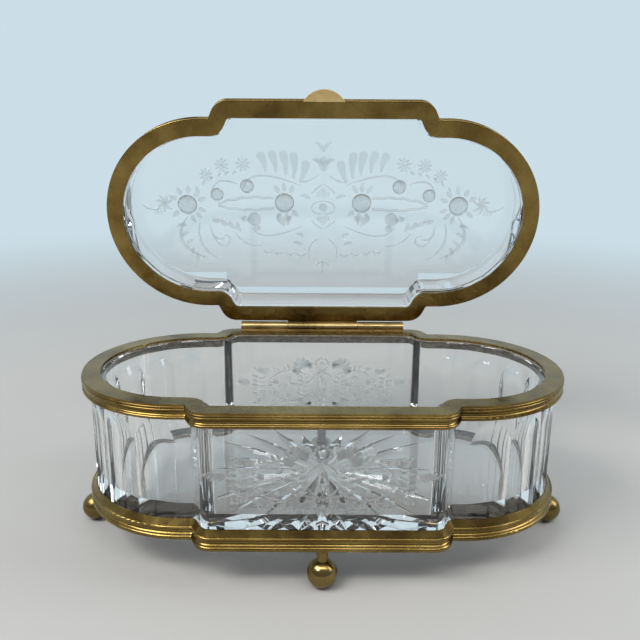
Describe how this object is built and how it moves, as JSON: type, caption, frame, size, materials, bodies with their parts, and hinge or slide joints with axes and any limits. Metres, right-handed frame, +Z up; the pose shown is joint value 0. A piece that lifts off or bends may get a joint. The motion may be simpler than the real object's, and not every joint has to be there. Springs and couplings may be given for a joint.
{
  "type": "glass casket box",
  "caption": "Cut glass keepsake box with fluted round ends, moulded brass rims, ball feet and a hinged glass lid standing open.",
  "frame": {"origin": "on the table, midway between the four feet", "axes": "+X to the right end, +Y to the hinge at the back, +Z up"},
  "size_m": [0.2552, 0.153, 0.2217],
  "materials": {
    "glass": "clear cut and polished",
    "brass": "aged, mottled",
    "foot_brass": "aged, satin",
    "hinge_brass": "dull, aged",
    "lift_brass": "worn satin",
    "bedding": "dark plaster"
  },
  "bodies": {
    "case": {"case_glass": "glass", "case_rim": "brass", "case_bedding": "bedding", "base_rim": "brass", "base_bedding": "bedding", "foot_front": "foot_brass", "foot_back": "foot_brass", "foot_left": "foot_brass", "foot_right": "foot_brass", "foot_studs": "hinge_brass", "case_hinge_leaf": "hinge_brass", "case_knuckle_left": "hinge_brass", "case_knuckle_right": "hinge_brass", "hinge_pin": "hinge_brass"},
    "lid": {"lid_hinge_leaf": "hinge_brass", "lid_knuckle": "hinge_brass", "lid_glass": "glass", "lid_rim": "brass", "lid_bedding": "bedding", "thumb_lift": "lift_brass"}
  },
  "joints": [
    {"name": "lid_hinge", "type": "hinge", "parent": "case", "child": "lid", "pos_m": [0, 0.0668, 0.0877], "axis": [-1, 0, 0], "range_deg": [-80, 20]}
  ]
}
